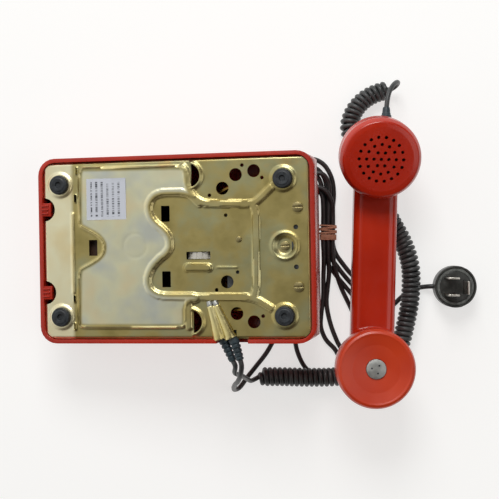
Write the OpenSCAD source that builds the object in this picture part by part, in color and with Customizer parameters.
// Rotary telephone lying face down, with its handset beside it on its back.
// The origin is on the table under the middle of the telephone and handset; +Z is up.
// Housing pieces are drawn upright in the telephone's own frame (front at -X, +Z towards the dial) and
// turned over by as_laid(). Handset pieces are drawn with the back of the handle on z = 0, caps up.

/* [Housing] */
// Length of the housing along its base
body_l = 213; // [200:1:230]
// Width of the housing across its base
body_w = 141; // [132:1:160]
// Wall thickness of the moulded housing
wall = 3; // [2:0.25:4]
// Height of the front edge of the housing above the feet
front_h = 57; // [54:1:70]
// Slope of the dial face
face_slope = 11; // [9:0.5:11.5]
// Radius of the corners of the base outline
corner_r = 13; // [8:1:18]
// Width of the raised cradle block
cradle_w = 92; // [86:1:94]
// Height of the cradle floor above the feet
cradle_h = 66; // [62:1:70]

/* [Base plate] */
// Thickness of the pressed steel base plate
plate_t = 1.2; // [0.8:0.1:2]
// Gap all round between the plate and the housing
plate_gap = 0.5; // [0.3:0.1:1]
// Diameter of each rubber foot
foot_d = 14.8; // [12:0.2:18]

/* [Dial] */
// Diameter of the finger wheel
wheel_d = 76; // [70:1:80]
// Diameter of a finger hole
finger_d = 12.8; // [11:0.2:14]
// Diameter of the dial shaft
shaft_d = 8; // [6:0.5:9]

/* [Handset] */
// Distance between the centres of the two cups
cup_pitch = 163.4; // [150:1:170]
// Diameter of the earpiece cup
ear_d = 60; // [56:1:64]
// Diameter of the mouthpiece cup
mouth_d = 62; // [58:1:66]
// Width of the handle
handle_w = 34; // [28:1:36]
// Thickness of the handle
handle_t = 23; // [20:1:26]

/* [Cords] */
// Diameter of the line cord and of the strand of the curly cord
cord_d = 3.8; // [3:0.2:3.8]
// Outer diameter of the curly cord
curl_d = 15.4; // [12:0.2:15.4]
// Diameter of the line plug
plug_d = 33.4; // [30:0.2:36]

/* [Hidden] */
$fn = 64;

// Clearances
fit = 0.3;
run = 0.05;
nib = 0.01;

// Housing
rim_z = 3.5;
lean_z = 12.5;
front_draft = 3.5;
rear_draft = 6.5;
face_r = 8;
cradle_x = 63;
cradle_l = 28;
shoulder_z = 47;
block_end_x = 20;
ear_in_front = 42;
ear_out_front = 30;
ear_in_rear = 84;
ear_out_rear = 96;
ear_short = 0.5;

// Placement on the table
tilt = 12;
turn = 1;
middle = [-0.38, 4.46];
rear_edge_x = 62.8727;
phone_xy = [rear_edge_x - body_l / 2 * cos(tilt), 9.2];
hand_xy = [113.5, -0.6];
hand_z = 18.4;
hand_turn = -1.5;
hand_pitch = -1.45;

// Base plate
plate_z = 5;
plate_top = plate_z + plate_t;
flange_h = 6;
foot_x = [17 - body_l / 2, body_l / 2 - 23];
foot_y = body_w / 2 - 20.2;
foot_stem_d = 6;
screw_boss = [body_l / 2 - 22.4, -1];
chassis_x = body_l / 2 - 12.5;
chassis_y = 29.2;

// Ringer
gong_x = 46;
gong_y = 26;
gong_r = 21;
gong_z = 16;
gong_h = 12;
clapper_x = 4.7;
volume_c = [18.6, 5.1, 16.5];
volume_r = 11;
volume_w = 5;

// Hook switch
plunger_y = 27;
plunger_r = 3.5;
plunger_out = 6;
lever_x = 93;
lever_z = 44;
lever_y = 18;

// Dial: depths are measured down from the face
dial_x = -38;
ring_r = 46;
ring_floor = -11;
wheel_z = -8.4;
wheel_t = 3;
hole_ring_r = 29;
finger_count = 10;
finger_step = 30;
finger_start = -60;
stop_angle = -120;
plate_depth = -14;
gear_m = 1;
gear_n = 40;
pinion_n = 10;
gear_gap = 0.4;
gear_z = -21;
gear_t = 2;
pinion_angle = 200;
gear_pitch = gear_m * (gear_n + pinion_n) / 2 + gear_gap;
pinion_at = gear_pitch * [cos(pinion_angle), sin(pinion_angle)];

// Handset
cup_y = cup_pitch / 2;
mouth_tilt = 14;
mouth_at = [0, cup_y + 6.5, 0.5];
cap_z = 34.2;
cap_top = 50;
spigot_z = 28;
ear_r = ear_d / 2;
mouth_r = mouth_d / 2;
sound_r = 6.7;
grommet_at = [6.5, cup_y + 28, 18];
grommet_l = 11;

// Plug
plug_at = [180.6, -20.8];
plug_h = 17;
plug_face = 4;
plug_cord_z = 6;
blade_h = 18;
blades = [[-4.3, 7, 8.9, 1.6], [-4.3, -6.2, 8.9, 1.6], [7.1, -0.4, 1.6, 10.4]];

// Cords: points on the route of each, hand-picked, on the table top
lay = cord_d / 2 + 0.05;
over = 11.8;
low = 7.8;
lead_route = [[4.2, -78.5, 75.6], [7, -86, 58], [10, -88.5, 44], [13.5, -92.5, 28], [18.4, -96.6, 16.5]];
coil_route = [[24, -93, over], [85, -93, over], [104, -90, over], [120, -85, over], [131, -77.5, over],
    [138, -65, over], [144, -38, over], [145.6, -20, over], [145.2, -6, over], [141, 13, 9.6],
    [131, 31, low], [116, 62, low], [99, 98, low], [96.5, 108, low], [100, 119.5, low], [108, 129, low],
    [118.5, 134.8, low], [128, 137.3, low]];
tail_start = [123.4, 120.7, 33.4];
tail_route = [[124.6, 128, 32.4], [128.5, 137, 27.5], [132.8, 141, 20], [134, 141.2, 13],
    [132.4, 139, 8.6]];
line_route = [[9.4, -77, 80.7], [9.6, -83.5, 78], [7.6, -90, 66], [4.2, -98, 32], [3.6, -101.5, 17],
    [4.5, -104, 7], [8, -103, 2.6], [14, -95, lay], [31, -73, lay], [40, -54, lay], [47, -10, lay],
    [51, 38, lay], [52, 56, lay], [55.5, 68, lay], [62.3, 74.6, lay]];
front_loop = [[84, -9.2, lay], [97, -36, lay], [102, -49, lay], [104, -60, lay], [103, -70, lay],
    [97, -75, lay], [90.5, -71, lay], [85, -60, lay], [80, -32, lay], [80.9, -18, lay],
    [80.7, -3.4, lay]];
rear_loop = [[76.3, 3, lay], [75.8, -30, lay], [74, -54, lay], [78, -64, lay], [89.5, -83, lay],
    [85, -91.5, lay], [74, -93.5, lay], [63, -88.5, lay], [55, -74, lay], [52.5, -56, lay],
    [55, 28, lay], [55.3, 48, lay], [56.6, 60, lay], [60, 67.5, lay], [64.8, 71, lay]];
plug_route = [[104.5, -25.5, lay], [124, -28, lay], [138, -24.5, lay], [151, -22.4, lay], [159.5, -21.2, 4]];
hank_route = [[63, 72, 0], [72, 76, 0], [79, 70, 0], [81, 56, 0], [79.6, 40, 0], [79.6, 32, 0], [79.6, 14, 0],
    [81, 6, 0], [87.6, -5, 0], [97, -17, 0], [105, -26, 0]];
hank_w = 11.4;
hank_h = 9.2;
band_at = [79.6, 23];
band_l = 14;
band_t = 1;

// Geometry functions
function unit(v) = v / norm(v);
// Centre of the fillet of radius r at the corner b between a and c
function fillet_centre(a, b, c, r) = let (u = unit(a - b), v = unit(c - b), h = acos(u * v) / 2)
    b + unit(u + v) * r / sin(h);
// Points of that fillet, n steps
function fillet_arc(a, b, c, r, n = 6) = r == 0 ? [b] :
    let (m = fillet_centre(a, b, c, r), u = unit(a - b), v = unit(c - b), h = acos(u * v) / 2,
        s = b + u * r / tan(h) - m, e = b + v * r / tan(h) - m, p = atan2(s.y, s.x),
        d = (atan2(e.y, e.x) - p + 540) % 360 - 180)
    [for (i = [0 : n]) m + r * [cos(p + d * i / n), sin(p + d * i / n)]];
// Outline from corners [x, y, radius]
function rounded(q) = let (n = len(q)) [for (i = [0 : n - 1]) each fillet_arc(
    [q[(i + n - 1) % n].x, q[(i + n - 1) % n].y], [q[i].x, q[i].y],
    [q[(i + 1) % n].x, q[(i + 1) % n].y], q[i].z)];
// Rounded rectangle centred on the origin
function rounded_box(l, w, r) = rounded([[-l / 2, -w / 2, r], [l / 2, -w / 2, r], [l / 2, w / 2, r],
    [-l / 2, w / 2, r]]);
// Point of the telephone's frame in the table's frame
function turned(p) = [p.x * cos(tilt) + p.z * sin(tilt), -p.y, p.x * sin(tilt) - p.z * cos(tilt)];
function on_table(p) = let (q = turned(p)) [phone_xy.x + q.x * cos(turn) - q.y * sin(turn),
    phone_xy.y + q.x * sin(turn) + q.y * cos(turn), phone_z + q.z];

front_corner = [-body_l / 2 + (front_h - lean_z) * tan(front_draft), front_h];
base_corner = [-body_l / 2, lean_z];
face_run = [block_end_x - front_corner.x, (block_end_x - front_corner.x) * tan(face_slope)];
rest_centre = fillet_centre(base_corner, front_corner, front_corner + face_run, face_r);
phone_z = rest_centre.y * cos(tilt) - rest_centre.x * sin(tilt) + face_r;
// Height in the telephone's frame of the table under the point x
function table_line(x) = (phone_z + x * sin(tilt)) / cos(tilt);
function face_z(x) = front_h + (x - front_corner.x) * tan(face_slope);
function front_x(z) = (z - lean_z) * tan(front_draft) - body_l / 2;
function rear_x(z) = body_l / 2 - (z - lean_z) * tan(rear_draft);
dial_z = face_z(dial_x);

// Swept tube: one ring of sides at each point of the route
function tangents(p) = let (n = len(p)) [for (i = [0 : n - 1])
    unit(p[min(i + 1, n - 1)] - p[max(i - 1, 0)])];
function first_side(t) = unit(cross(t, abs(t.z) > 0.8 ? [1, 0, 0] : [0, 0, 1]));
function sides_of(t) = [for (i = 0, n = first_side(t[0]); i < len(t); i = i + 1,
    n = i < len(t) ? unit(n - (n * t[i]) * t[i]) : n) n];
module tube(p, d, sides = 8) {
    t = tangents(p);
    s = sides_of(t);
    n = len(p);
    pts = [for (i = [0 : n - 1]) let (b = cross(t[i], s[i])) for (k = [0 : sides - 1])
        let (a = 360 * (k + 0.5) / sides) p[i] + d / 2 * (cos(a) * s[i] + sin(a) * b)];
    skin = [for (i = [0 : n - 2], k = [0 : sides - 1]) let (a = i * sides + k,
        b = i * sides + (k + 1) % sides) each [[a, a + sides, b], [b, a + sides, b + sides]]];
    ends = [[for (k = [0 : sides - 1]) k], [for (k = [sides - 1 : -1 : 0]) (n - 1) * sides + k]];
    polyhedron(points = pts, faces = concat(skin, ends));
}

// Frames
module placed() {
    translate([-middle.x, -middle.y, 0]) children();
}
module as_laid() {
    placed() translate([phone_xy.x, phone_xy.y, phone_z]) rotate([0, 0, turn]) rotate([0, -tilt, 0])
        rotate([180, 0, 0]) children();
}
module at_dial() {
    translate([dial_x, 0, dial_z]) rotate([0, -face_slope, 0]) children();
}
module as_handset() {
    placed() translate([hand_xy.x, hand_xy.y, hand_z]) rotate([0, 0, hand_turn])
        rotate([hand_pitch, 0, 0]) children();
}
module at_mouth() {
    translate(mouth_at) rotate([mouth_tilt, 0, 0]) children();
}
module along_y(y, h) {
    translate([0, y, 0]) rotate([90, 0, 0]) linear_extrude(h, center = true) children();
}
module bored(r_out, r_in, z, h) {
    translate([0, 0, z]) difference() {
        cylinder(r = r_out, h = h);
        translate([0, 0, -1]) cylinder(r = r_in, h = h + 2);
    }
}
module cup_turned(pts) {
    rotate_extrude($fn = 96) polygon(pts);
}

// Housing: t is the inset of the surface, 0 outside and the wall inside
module plan_of(t) {
    translate([0, 0, t > 0 ? 0 : rim_z]) linear_extrude(150)
        polygon(rounded_box(body_l - 2 * t, body_w - 2 * t, corner_r - t));
}
module front_side(t) {
    along_y(0, 2 * body_w) polygon(rounded([[front_x(-1) + t, -1, 0], [rear_x(-1) - t, -1, 0],
        [rear_x(shoulder_z) - t, shoulder_z - 3 - t, 8], [block_end_x + 15 - t, shoulder_z - t, 8],
        [block_end_x - t, face_z(block_end_x) - t, 9], [front_corner.x + t, front_corner.y - t,
            face_r - t]]));
}
module rear_side(t) {
    z_in = cradle_h - t;
    half = cradle_l / 2 + t;
    top = table_line(ear_in_rear) - table_line(ear_in_rear - t) + t / cos(tilt);
    along_y(0, 2 * body_w) polygon(rounded([[block_end_x - 4 + t, -1, 0], [rear_x(-1) - t, -1, 0],
        [rear_x(shoulder_z) - t, shoulder_z, 0],
        [ear_out_rear - t, table_line(ear_out_rear) - top, 5 - t],
        [ear_in_rear + t, table_line(ear_in_rear) - top, 5 - t],
        [cradle_x + half, z_in, 4], [cradle_x - half, z_in, 4],
        [ear_in_front - t, table_line(ear_in_front) - ear_short - top, 5 - t],
        [ear_out_front + t, table_line(ear_out_front) - ear_short - top, 5 - t],
        [block_end_x - 4 + t, face_z(block_end_x - 4) - 4 - t, 0]]));
}
module front_section(t) {
    translate([front_corner.x - 20, 0, face_z(front_corner.x - 20) - t]) rotate([0, -face_slope, 0])
        rotate([90, 0, 90]) linear_extrude(2 * body_l) polygon(rounded([[-body_w / 2 - 8 + t, -120, 0],
            [body_w / 2 + 8 - t, -120, 0], [body_w / 2 - 4 - t, 0, 16 - t],
            [-body_w / 2 + 4 + t, 0, 16 - t]]));
}
module rear_section(t) {
    half = body_w / 2 - t;
    neck = cradle_w / 2 - t;
    rotate([90, 0, 90]) linear_extrude(2 * body_l) polygon(rounded([[-half - 1, -1, 0], [half + 1, -1, 0],
        [half - 2, shoulder_z - 4 - t, 10], [neck + 4, shoulder_z - t, 6], [neck - 3, 140, 0],
        [3 - neck, 140, 0], [-neck - 4, shoulder_z - t, 6], [2 - half, shoulder_z - 4 - t, 10]]));
}
module shell_of(t) {
    intersection() {
        plan_of(t);
        front_side(t);
        front_section(t);
    }
    intersection() {
        plan_of(t);
        rear_side(t);
        rear_section(t);
    }
}
module housing() {
    color("firebrick") as_laid() difference() {
        union() {
            difference() {
                shell_of(0);
                shell_of(wall);
            }
            // Boss for the housing screw, and front hooks
            translate([screw_boss.x, screw_boss.y, plate_top + 2]) cylinder(r = 5, h = 80);
            for (s = [-1, 1]) translate([-body_l / 2 + wall - 0.5, s * 31.7 - 5, rim_z + 0.5]) cube([7,
                10, 3.5]);
        }
        translate([screw_boss.x, screw_boss.y, 0]) cylinder(r = 2.1, h = 40);
        at_dial() translate([0, 0, -20]) cylinder(r = ring_r, h = 40);
        for (s = [-1, 1]) translate([cradle_x, s * plunger_y, cradle_h - 10])
            cylinder(r = plunger_r + 0.08, h = 20);
        // Opening in the left side for the two cord grommets
        translate([31.5, body_w / 2 - 8, 0]) cube([24, 16, 15.5]);
    }
}

// Base plate
plate_l = body_l - 2 * (wall + plate_gap);
plate_w = body_w - 2 * (wall + plate_gap);
sound_holes = [[37.8, -44.4], [48, -54.1], [61.7, -56.6], [47.3, 48.4], [60.2, 54.6], [40.3, 24.9]];
small_holes = [[27.9, -39.4], [53, -61], [67.8, -51.4], [67, 50.4], [32.2, 30.8], [48.3, 17.8], [40, -24.4]];
slots = [[-6.3, -26.5], [-6.3, 22.5], [-63.7, -2]];
module base_plate() {
    color("darkkhaki") as_laid() difference() {
        union() {
            translate([0, 0, plate_z]) linear_extrude(plate_t)
                polygon(rounded_box(plate_l, plate_w, corner_r - wall));
            translate([0, 0, plate_z]) linear_extrude(flange_h) difference() {
                polygon(rounded_box(plate_l, plate_w, corner_r - wall));
                polygon(rounded_box(plate_l - 2 * plate_t, plate_w - 2 * plate_t, corner_r - wall - plate_t));
            }
        }
        for (x = foot_x, y = [-foot_y, foot_y]) translate([x, y, 0]) cylinder(d = foot_stem_d + 0.1, h = 10);
        for (p = sound_holes) translate([p.x, p.y, 0]) cylinder(d = 9.6, h = 10);
        for (p = small_holes) translate([p.x, p.y, 0]) cylinder(d = 4, h = 10);
        for (y = [-14.6, 14.6]) translate([92.4, y, 0]) cylinder(d = 3.6, h = 10);
        for (p = slots) translate([p.x - 3.3, p.y - 6, 0]) cube([6.6, 12, 10]);
        for (s = [-1, 1]) translate([17.5, s * 54.4, 0]) intersection() {
            translate([-3.3, -7.7, 0]) cube([6.6, 15.4, 10]);
            translate([-5.5, 0, 0]) cylinder(r = 8.8, h = 10);
        }
        translate([volume_c.x - 9.2, volume_c.y - 3, 0]) cube([18.4, 6, 10]);
        translate([screw_boss.x, screw_boss.y, 0]) cylinder(d = 7, h = 10);
        for (s = [-1, 1]) translate([chassis_x, s * chassis_y, 0]) cylinder(d = 3.2, h = 10);
        for (s = [-1, 1]) translate([-plate_l / 2, s * 31.7, 0]) cylinder(r = 9, h = 20);
        // Gap in the edge for the cord grommets
        translate([25, side_y - 20.5, 0]) cube([28, 40, 20]);
        translate([clamp_screw_at.x, clamp_screw_at.y, 0]) cylinder(d = 3.2, h = 10);
    }
}
module foot(x, y) {
    color("dimgray") as_laid() translate([x, y, 0]) {
        r = foot_d / 2;
        stem = foot_stem_d / 2;
        cup_turned([[0, 0], [r * 0.6, 0], [r * 0.85, 0.7], [r * 0.97, 2], [r, 3.4], [r, plate_z - 0.02],
            [stem, plate_z - 0.02], [stem, plate_top + 0.02], [stem + 1.4, plate_top + 0.4],
            [stem, plate_top + 2.4], [0, plate_top + 2.4]]);
    }
}
// Screw seen from below the base: slotted head, shank reaching up
module base_screw(head_d, head_h, shank_d, length, slot_w) {
    difference() {
        union() {
            cylinder(d = head_d, h = head_h);
            cylinder(d = shank_d, h = length);
        }
        translate([-head_d, -slot_w / 2, -1]) cube([2 * head_d, slot_w, 1 + head_h * 0.5]);
    }
}
module housing_screw() {
    color("goldenrod") as_laid() translate([screw_boss.x, screw_boss.y, plate_z - 0.6])
        base_screw(6.6, 2, 4, 16, 1);
}
module chassis_screws() {
    color("goldenrod") as_laid() for (s = [-1, 1]) translate([chassis_x, s * chassis_y, plate_z - 2])
        base_screw(7.6, 1.95, 3.1, 6.5, 1.2);
}

// Cord grommets and their clamp: axes run from the clamp to the open air
side_y = body_w / 2;
grommets = [[[31, side_y - 13.5, 8.6], [42.5, side_y + 13.5, 10.5]],
    [[40.5, side_y - 13.5, 8.6], [49, side_y + 12.5, 6]]];
clamp_screw_at = [21, side_y - 24.5];
grommet_r = [3.9, 2.9];
module between(a, b) {
    d = b - a;
    translate(a) rotate([0, acos(d.z / norm(d)), atan2(d.y, d.x)]) children();
}
module cord_grommet(g) {
    color("darkslategray") as_laid() between(g[0], g[1])
        cylinder(r1 = grommet_r[0], r2 = grommet_r[1], h = norm(g[1] - g[0]));
}
module cable_clamp() {
    color("gold") as_laid() difference() {
        union() {
            for (g = grommets) between(g[0], g[1]) cylinder(r = grommet_r[0] + 1.2, h = 8);
            translate([17.5, side_y - 28.5, plate_z - 1.25]) cube([29, 9, 1.2]);
            translate([26, side_y - 21.5, plate_z - 1.25]) cube([20, 12, 1.2]);
        }
        for (g = grommets) between(g[0], g[1]) translate([0, 0, -2])
            cylinder(r = grommet_r[0] + 0.1, h = 12);
        translate([10, side_y - 18.5, plate_z + 0.6]) cube([60, 30, 12]);
        translate([clamp_screw_at.x, clamp_screw_at.y, 0]) cylinder(d = 3.2, h = 10);
    }
}
module clamp_screw() {
    color("goldenrod") as_laid() translate([clamp_screw_at.x, clamp_screw_at.y,
        plate_z - 2.9]) base_screw(6, 1.6, 3.1, 6, 1);
}
module paper_label() {
    color("lightsteelblue") as_laid() translate([-67.6, -54.4, plate_z - 0.12]) cube([31, 31.5, 0.1]);
}

// Ringer
module ringer_frame() {
    base_z = plate_top + 1.3;
    color("silver") as_laid() {
        difference() {
            union() {
                translate([-30, -17, base_z]) cube([94, 34, 1.5]);
                for (s = [-1, 1]) translate([gong_x - 6, s > 0 ? 10 : -30, base_z]) cube([12, 20, 1.5]);
            }
            translate([volume_c.x - 12.5, volume_c.y - 3.6, 0]) cube([25, 7.2, 20]);
            for (p = [[-24, -12], [-24, 12], [60, -12], [60, 12]]) translate([p.x, p.y, 0])
                cylinder(d = 3, h = 20);
        }
        // Feet, core plate with cores, clapper axle, gong posts, wheel cheeks
        for (p = [[-16, -12], [-16, 12], [58, -8], [58, 8]]) translate([p.x, p.y, plate_top + 0.02])
            cylinder(d = 4, h = 1.4);
        translate([-28.5, -17, base_z]) cube([2, 34, 22]);
        for (s = [-1, 1]) translate([-27.5, s * 9, 20]) rotate([0, 90, 0]) cylinder(r = 3, h = 28.5);
        translate([clapper_x, 0, base_z]) cylinder(r = 1.5, h = 22.5);
        for (s = [-1, 1]) translate([gong_x, s * gong_y, base_z]) difference() {
            union() {
                cylinder(r = 3, h = gong_z + gong_h - 1.6 - base_z);
                cylinder(r = 2, h = gong_z + gong_h - base_z);
            }
            translate([0, 0, 8]) cylinder(r = 1.25, h = 30);
        }
        for (s = [-1, 1]) translate([volume_c.x, volume_c.y + s * 4.4, base_z]) difference() {
            translate([-3, -0.6, 0]) cube([6, 1.2, 13]);
            translate([0, 2, volume_c.z - base_z]) rotate([90, 0, 0]) cylinder(r = 1.3, h = 4);
        }
    }
}
module ringer_coils() {
    color("peru") as_laid() for (s = [-1, 1]) translate([-26.2, s * 9, 20]) rotate([0, 90, 0]) {
        bored(7.4, 3.1, 0, 1.2);
        bored(6.8, 3.1, 1.2, 21.6);
        bored(7.4, 3.1, 22.8, 1.2);
    }
}
module gongs() {
    color("goldenrod") as_laid() for (s = [-1, 1]) translate([gong_x, s * gong_y, gong_z])
        cup_turned([[2.05, gong_h], [2.05, gong_h - 1.5], [gong_r * 0.6, gong_h - 1.5],
            [gong_r * 0.86, gong_h - 4], [gong_r - 1.5, 0], [gong_r, 0], [gong_r * 0.93, gong_h - 3],
            [gong_r * 0.64, gong_h]]);
}
module gong_screws() {
    color("silver") as_laid() for (s = [-1, 1]) translate([gong_x, s * gong_y, gong_z + gong_h + 0.05])
        rotate([180, 0, 0]) translate([0, 0, -2]) base_screw(7, 1.95, 2.4, 8, 1);
}
module clapper() {
    color("lightgray") as_laid() translate([clapper_x, 0, 0]) {
        bored(3, 1.55, 12, 16);
        translate([-2.4, -16, 13]) cube([1.2, 13.4, 14]);
        translate([-2.4, 2.6, 13]) cube([1.2, 13.4, 14]);
        translate([2.6, -0.6, 21.4]) cube([36, 1.2, 1.2]);
        translate([gong_x - clapper_x, 0, 22]) sphere(r = 2.8);
    }
}
module volume_wheel() {
    color("gainsboro") as_laid() translate(volume_c) rotate([90, 0, 0]) {
        difference() {
            cylinder(r = volume_r, h = volume_w, center = true);
            for (a = [0 : 24 : 336]) rotate([0, 0, a]) translate([volume_r, 0, 0])
                cylinder(r = 0.5, h = 10, center = true, $fn = 16);
        }
        cylinder(r = 1.24, h = 11, center = true);
    }
}

// Network on its board, in the front of the base
board_at = [-98, -44, 11];
board = [52, 88, 1.6];
module circuit_board() {
    color("darkgreen") as_laid() {
        difference() {
            translate(board_at) cube(board);
            for (x = [5, 47], y = [5, 83]) translate([board_at.x + x, board_at.y + y, 0]) cylinder(d = 3,
                h = 20);
        }
        for (x = [5, 47], y = [5, 83]) translate([board_at.x + x, board_at.y + y, 0])
            bored(3, 1.4, plate_top + 0.02, board_at.z - plate_top - 0.02);
    }
}
module capacitor() {
    color("orange") as_laid() translate([-94, 8, board_at.z + board.z])
        linear_extrude(14) translate([7, 15]) polygon(rounded_box(13, 30, 2));
}
module induction_coil() {
    color("dimgray") as_laid() translate([-80, -20, board_at.z + board.z]) {
        translate([-14, -12, 0]) cube([28, 5, 18]);
        translate([-14, 7, 0]) cube([28, 5, 18]);
        translate([-14, -7, 7]) cube([28, 14, 4]);
        for (z = [0, 11]) translate([-9, -7, z]) cube([18, 14, 7]);
    }
}
module terminal_block() {
    color("saddlebrown") as_laid() difference() {
        translate([-62, -34, board_at.z + board.z]) cube([12, 68, 8]);
        for (i = [0 : 5]) translate([-56, -27 + 10.8 * i, board_at.z + board.z + 3]) cylinder(d = 4, h = 10);
    }
}

// Hook switch
module hook_bracket() {
    color("silver") as_laid() {
        translate([89, -36, plate_top + 0.02]) difference() {
            cube([9.5, 72, 1.5]);
            for (s = [-1, 1]) translate([chassis_x - 89, 36 + s * chassis_y, -1]) cylinder(d = 3.2, h = 4);
        }
        for (s = [-1, 1]) translate([89, s * (lever_y + 5) - 0.75, plate_top + 0.02]) difference() {
            cube([7.5, 1.5, lever_z]);
            translate([lever_x - 89, 3, lever_z - plate_top]) rotate([90, 0, 0]) cylinder(r = 1.55, h = 8);
        }
    }
}
module hook_lever() {
    stem_end = cradle_h - 16;
    bar_z = stem_end - 0.3 - 1.6;
    color("lightgray") as_laid() {
        translate([lever_x, 0, lever_z]) rotate([90, 0, 0]) difference() {
            union() {
                for (s = [-1, 1]) translate([0, 0, s * lever_y]) cylinder(r = 3, h = 4, center = true);
                for (s = [-1, 1]) translate([0, 0, s * (lever_y + 2.5)])
                    cylinder(r = 1.5, h = 8, center = true);
            }
            translate([0, 0, -60]) cylinder(r = 0.6, h = 120);
        }
        for (s = [-1, 1]) translate([cradle_x, s * lever_y - 1, 0]) rotate([90, 0, 0]) mirror([0, 0, 1])
            linear_extrude(2) polygon([[-1, bar_z - 1], [-1, bar_z + 1], [lever_x - cradle_x - 2,
                lever_z + 2],
                [lever_x - cradle_x - 2, lever_z - 2]]);
        translate([cradle_x, 0, bar_z]) rotate([90, 0, 0]) cylinder(r = 1.6, h = 66, center = true);
    }
}
module hook_contacts() {
    color("orange") as_laid() for (i = [0 : 4]) translate([66, 8, 24 + 3 * i]) {
        cube([20, 3, 0.4]);
        translate([14, -1, 0.4]) cube([7, 5, i < 4 ? 2.6 : 1]);
        if (i == 0) translate([14, -1, plate_top - 24 + 0.02]) cube([7, 5, 24 - plate_top - 0.02]);
    }
}
module plunger(s) {
    color("black") as_laid() translate([cradle_x, s * plunger_y, 0]) {
        translate([0, 0, cradle_h - wall - 0.5]) cylinder(r = plunger_r, h = plunger_out + wall - 1.5);
        translate([0, 0, cradle_h + plunger_out - 2 - nib]) cylinder(r1 = plunger_r, r2 = 2.2, h = 2);
        translate([0, 0, cradle_h - wall - 2.5]) cylinder(r = 5, h = 2);
        translate([0, 0, cradle_h - 16]) cylinder(r = 2.5, h = 12);
    }
}

// Dial
module number_ring() {
    color("whitesmoke") as_laid() at_dial() difference() {
        cup_turned([[14, ring_floor], [ring_r - fit, ring_floor], [ring_r - fit, -0.8], [ring_r - 2.2, -0.8],
            [ring_r - 3.2, ring_floor + 2.4], [ring_r - 4, ring_floor + 1.6], [14, ring_floor + 1.6]]);
        for (a = [60, 180, 300]) rotate([0, 0, a]) translate([36, 0, -20]) cylinder(d = 3.2, h = 20);
    }
}
module dial_plate() {
    color("silver") as_laid() at_dial() difference() {
        union() {
            translate([0, 0, plate_depth]) cylinder(r = 43, h = 1.5);
            for (a = [60, 180, 300]) rotate([0, 0, a]) translate([36, 0, plate_depth]) cylinder(r = 3.2,
                h = 2.95);
            // Posts and back plate that carry the mechanism
            for (a = [90, 270]) rotate([0, 0, a]) translate([30, 0, -28]) cylinder(r = 2.5, h = 15);
            translate([-34, -34, -29.5]) intersection() {
                cube([68, 68, 1.5]);
                translate([34, 34, 0]) cylinder(r = 34, h = 5);
            }
        }
        translate([0, 0, -40]) cylinder(d = shaft_d + 2 * run, h = 60);
        for (a = [60, 180, 300]) rotate([0, 0, a]) translate([36, 0, -20]) cylinder(d = 2.5, h = 20);
        translate([pinion_at.x, pinion_at.y, -40]) cylinder(r = 1.5 + run, h = 60);
    }
}
module dial_screws() {
    color("silver") as_laid() at_dial() for (a = [60, 180, 300]) rotate([0, 0, a])
        translate([36, 0, ring_floor + 1.6]) {
            cylinder(d = 5, h = 0.7);
            translate([0, 0, -5]) cylinder(d = 2.4, h = 5.2);
        }
}
module finger_stop() {
    color("silver") as_laid() at_dial() rotate([0, 0, stop_angle]) {
        translate([22, -1.6, wheel_z + wheel_t + 0.7]) cube([ring_r - 5.4 - 22, 3.2, 1]);
        translate([ring_r - 6.4, -1.6, ring_floor + 1.62]) cube([1, 3.2, wheel_z + wheel_t - ring_floor]);
    }
}
module finger_wheel() {
    color("gainsboro") as_laid() at_dial() difference() {
        cup_turned([[shaft_d / 2 - 1, wheel_z], [wheel_d / 2 - 0.8, wheel_z], [wheel_d / 2, wheel_z + 0.8],
            [wheel_d / 2, wheel_z + wheel_t - 0.8], [wheel_d / 2 - 0.8, wheel_z + wheel_t],
            [shaft_d / 2 - 1, wheel_z + wheel_t]]);
        for (i = [0 : finger_count - 1]) rotate([0, 0, finger_start + finger_step * i])
            translate([hole_ring_r, 0, -20]) cylinder(d = finger_d, h = 40);
    }
}
module dial_card() {
    color("ivory") as_laid() at_dial() translate([0, 0, wheel_z + wheel_t + 0.02])
        cup_turned([[0, 0], [17, 0], [17, 0.8], [16.2, 1.3], [0, 1.5]]);
}
module gear_2d(n, r_hole) {
    r = gear_m * n / 2;
    difference() {
        union() {
            circle(r = r - 1.15 * gear_m);
            for (i = [0 : n - 1]) rotate(360 * i / n) polygon([[r - 1.4 * gear_m, -0.62],
                [r + 0.85 * gear_m, -0.26],
                [r + 0.85 * gear_m, 0.26], [r - 1.4 * gear_m, 0.62]]);
        }
        if (r_hole > 0) circle(r = r_hole);
    }
}
module dial_shaft() {
    color("silver") as_laid() at_dial() {
        translate([0, 0, -33]) cylinder(d = shaft_d, h = 33 + wheel_z - 0.02);
        translate([0, 0, wheel_z - 0.03]) cylinder(d = shaft_d - 2.1, h = wheel_t);
        translate([0, 0,
            gear_z]) rotate(pinion_angle + 180 / gear_n) linear_extrude(gear_t) gear_2d(gear_n, 0);
    }
}
module spring_drum() {
    color("gray") as_laid() at_dial() {
        bored(13, shaft_d / 2 + 0.4, -27.9, 5.5);
    }
}
module governor_pinion() {
    color("goldenrod") as_laid() at_dial() translate(pinion_at) {
        translate([0, 0, gear_z]) rotate(pinion_angle) linear_extrude(gear_t) gear_2d(pinion_n, 0);
        translate([0, 0, -32]) cylinder(r = 1.5, h = 19);
        translate([0, 0, -27.5]) cylinder(r = 6.5, h = 4);
    }
}
module pulse_contacts() {
    color("orange") as_laid() at_dial() for (i = [0 : 3]) translate([26, -6 + 2 * i, -27.9]) {
        cube([3, 1.2, 12]);
        translate([-4, 0.4, 11.6]) cube([7, 0.4, 2.2]);
    }
}

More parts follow.
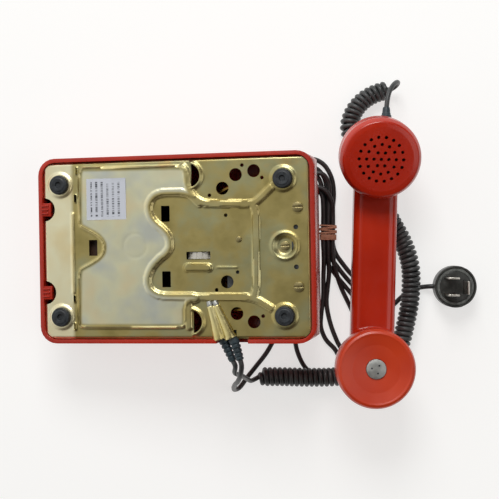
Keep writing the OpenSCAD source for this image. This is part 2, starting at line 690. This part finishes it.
// Handset
function bowl(r, b) = [[0, b], [r * 0.45, b + 0.5], [r * 0.73, b + 4], [r * 0.9, b + 11], [r - 0.3, b + 20],
    [r, cap_z - 4], [r, cap_z - 0.2], [0, cap_z - 0.2]];
function hollow(r, b) = [[0, b + 3.5], [r * 0.45, b + 4], [r * 0.68, b + 7], [r * 0.8, b + 13],
    [r - 3, b + 20], [r - 3, cap_z + 1], [0, cap_z + 1]];
ear_bowl = 2;
mouth_bowl = 6;
module handset_shell() {
    color("firebrick") as_handset() difference() {
        union() {
            along_y(0, cup_pitch + 20) translate([0, handle_t / 2])
                polygon(rounded_box(handle_w, handle_t, 7));
            translate([0, -cup_y, 0]) cup_turned(bowl(ear_r, ear_bowl));
            at_mouth() cup_turned(bowl(mouth_r, mouth_bowl));
        }
        translate([0, -cup_y, 0]) cup_turned(hollow(ear_r, ear_bowl));
        at_mouth() cup_turned(hollow(mouth_r, mouth_bowl));
        translate([0, -cup_y, handle_t / 2]) rotate([-90, 0, 0]) cylinder(r = 5, h = cup_pitch);
        translate([0, -cup_y, cap_z - 0.2]) cylinder(r = ear_r + 5, h = 20);
        at_mouth() translate([0, 0, cap_z - 0.2]) cylinder(r = mouth_r + 5, h = 20);
        translate(grommet_at - [0, 20, 0]) rotate([-90, 0, 0]) cylinder(r = 3 + run, h = 30);
    }
}
module cap_body(r) {
    difference() {
        cup_turned([[r - 5.5, spigot_z], [r - 3.3, spigot_z], [r - 3.3, cap_z], [r, cap_z], [r, cap_top - 4],
            [r - 1.4, cap_top - 1], [r - 3.4, cap_top], [0, cap_top], [0, cap_top - 3], [r - 5.5,
                cap_top - 3]]);
        children();
    }
}
module ear_cap() {
    color("firebrick") as_handset() translate([0, -cup_y, 0]) cap_body(ear_r) {
        cup_turned([[0, cap_top + 1], [ear_r - 4, cap_top + 1], [ear_r - 4, cap_top - 0.3],
            [ear_r - 9, cap_top - 1.4], [0, cap_top - 1.8]]);
        translate([0, 0, cap_top - 10]) cylinder(r = sound_r, h = 20);
    }
}
module mouth_cap() {
    color("firebrick") as_handset() at_mouth() cap_body(mouth_r) {
        for (k = [0 : 3], i = [0 : max(1, 6 * k) - 1]) rotate(360 * i / max(1,
            6 * k)) translate([5.6 * k, 0, 0])
            translate([0, 0, cap_top - 10]) cylinder(d = 2.3, h = 20);
    }
}
module receiver() {
    color("gray") as_handset() translate([0, -cup_y, 0]) difference() {
        union() {
            translate([0, 0, 24]) cylinder(r = ear_r - 6, h = cap_top - 3.4 - 24);
            translate([0, 0, cap_top - 4]) cylinder(r = sound_r - 0.3, h = 1.6);
        }
        for (a = [90, 210, 330]) rotate(a) translate([3, 0, cap_top - 4]) cylinder(d = 1.6, h = 5);
    }
}
module transmitter() {
    color("gray") as_handset() at_mouth() union() {
        translate([0, 0, 27]) cylinder(r = mouth_r - 6, h = 18);
        translate([0, 0, 24]) cylinder(r = 10, h = 4);
    }
}
module mouth_grommet() {
    color("black") as_handset() translate(grommet_at - [0, 4, 0]) rotate([-90, 0, 0]) {
        cylinder(r = 3, h = 6);
        translate([0, 0, 6]) cylinder(r1 = 4, r2 = 2.6, h = grommet_l - 2);
    }
}

// Cords
module curly_lead() {
    color("#333333") placed() tube(concat([on_table(grommets[0][1])], lead_route, [[23.7, -98, 11]]), cord_d);
}
module curly_coil() {
    color("#3c3c3c") placed() tube(coil_route, curl_d, 12);
}
module curly_tail() {
    color("#333333") placed() tube(concat([tail_start], tail_route, [coil_route[len(coil_route) - 1]]),
        cord_d);
}
module line_cord() {
    color("#2b2b2b") placed() tube(concat([on_table(grommets[1][1])], line_route), cord_d);
}
module cord_loop_front() {
    color("#2b2b2b") placed() tube(front_loop, cord_d);
}
module cord_loop_rear() {
    color("#2b2b2b") placed() tube(rear_loop, cord_d);
}
module plug_cord() {
    entry = [plug_at.x - plug_d / 2, plug_at.y, plug_cord_z + 0.05];
    color("#2b2b2b") placed() tube(concat(plug_route, [entry - [1, 0, 0.1], entry + [1.5, 0, 0]]), cord_d);
}
// Outline of a strip of width w along a route on the table
function strip(p, w) = let (n = len(p), t = tangents(p)) concat(
    [for (i = [0 : n - 1]) [p[i].x, p[i].y] + w / 2 * [-t[i].y, t[i].x]],
    [for (i = [n - 1 : -1 : 0]) [p[i].x, p[i].y] - w / 2 * [-t[i].y, t[i].x]]);
module cord_hank() {
    color("#2b2b2b") placed() difference() {
        translate([0, 0, 0.05]) linear_extrude(hank_h) polygon(strip(hank_route, hank_w));
        translate([band_at.x, band_at.y, 0.05]) difference() {
            translate([-20, -band_l / 2, -1]) cube([40, band_l, 20]);
            translate([-hank_w / 2 + band_t, -band_l, band_t]) cube([hank_w - 2 * band_t, 2 * band_l,
                hank_h - 2 * band_t]);
        }
    }
}
module rubber_band() {
    color("tan") placed() translate([band_at.x, band_at.y, 0.05]) difference() {
        translate([-hank_w / 2, -band_l / 2, 0]) cube([hank_w, band_l, hank_h]);
        translate([-hank_w / 2 + band_t, -band_l, band_t]) cube([hank_w - 2 * band_t, 2 * band_l,
            hank_h - 2 * band_t]);
    }
}

// Plug, blades up
module plug_cover() {
    r = plug_d / 2;
    color("#2e2f2c") placed() translate([plug_at.x, plug_at.y, 0.05]) difference() {
        cup_turned([[0, 0], [r - 4, 0], [r - 1, 1.5], [r, 4.5], [r, plug_h], [r - 1.6, plug_h],
            [r - 1.6, plug_h - plug_face], [0, plug_h - plug_face]]);
        translate([-r - 1, 0, plug_cord_z]) rotate([0, 90, 0]) cylinder(d = cord_d + 0.1, h = 8);
    }
}
module plug_base() {
    r = plug_d / 2 - 1.8;
    color("#3a3b38") placed() translate([plug_at.x, plug_at.y, 0.05]) difference() {
        translate([0, 0, plug_h - plug_face + 0.02]) cylinder(r = r, h = plug_face - 0.8);
        for (b = blades) translate([b.x - b[2] / 2 - 0.05, b.y - b[3] / 2 - 0.05, 0]) cube([b[2] + 0.1,
            b[3] + 0.1, 40]);
    }
}
module plug_blades() {
    color("silver") placed() translate([plug_at.x, plug_at.y, 0.05]) for (b = blades)
        translate([b.x - b[2] / 2, b.y - b[3] / 2, plug_h - plug_face + 0.02])
            cube([b[2], b[3], blade_h + plug_face - 0.8]);
}

housing();
base_plate();
foot(foot_x[0], foot_y);  // foot_front_left
foot(foot_x[0], -foot_y);  // foot_front_right
foot(foot_x[1], foot_y);  // foot_rear_left
foot(foot_x[1], -foot_y);  // foot_rear_right
housing_screw();
chassis_screws();
cable_clamp();
clamp_screw();
cord_grommet(grommets[0]);  // handset_cord_grommet
cord_grommet(grommets[1]);  // line_cord_grommet
paper_label();
ringer_frame();
ringer_coils();
gongs();
gong_screws();
clapper();
volume_wheel();
circuit_board();
capacitor();
induction_coil();
terminal_block();
hook_bracket();
hook_lever();
hook_contacts();
plunger(1);  // plunger_left
plunger(-1);  // plunger_right
number_ring();
dial_plate();
dial_screws();
finger_stop();
finger_wheel();
dial_card();
dial_shaft();
spring_drum();
governor_pinion();
pulse_contacts();
handset_shell();
ear_cap();
mouth_cap();
receiver();
transmitter();
mouth_grommet();
curly_lead();
curly_coil();
curly_tail();
line_cord();
cord_hank();
cord_loop_front();
cord_loop_rear();
plug_cord();
rubber_band();
plug_cover();
plug_base();
plug_blades();
